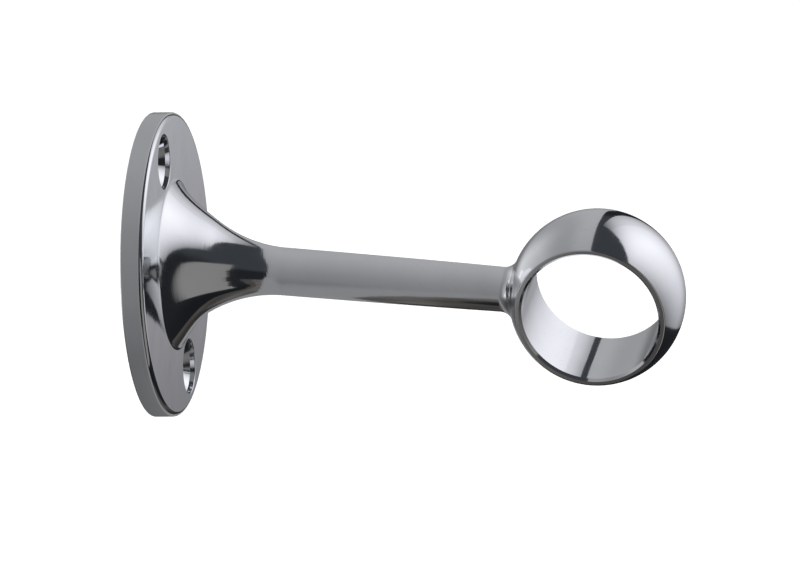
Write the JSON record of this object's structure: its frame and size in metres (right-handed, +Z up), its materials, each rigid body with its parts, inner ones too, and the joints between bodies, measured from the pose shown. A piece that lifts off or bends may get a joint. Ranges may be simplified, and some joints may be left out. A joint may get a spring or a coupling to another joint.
{
  "type": "curtain pole bracket",
  "caption": "Polished metal wall bracket for a curtain pole: a round screw-fixed plate flares into a slim arm that ends in a closed ring for the pole.",
  "frame": {"origin": "centre of the wall plate's back face, on the wall", "axes": "+X away from the wall, +Y along the pole, +Z up"},
  "size_m": [0.0985, 0.0559, 0.0558],
  "materials": {
    "polished_chrome": "polished casting, chrome plated"
  },
  "bodies": {
    "root": {"bracket": "polished_chrome"}
  },
  "joints": []
}
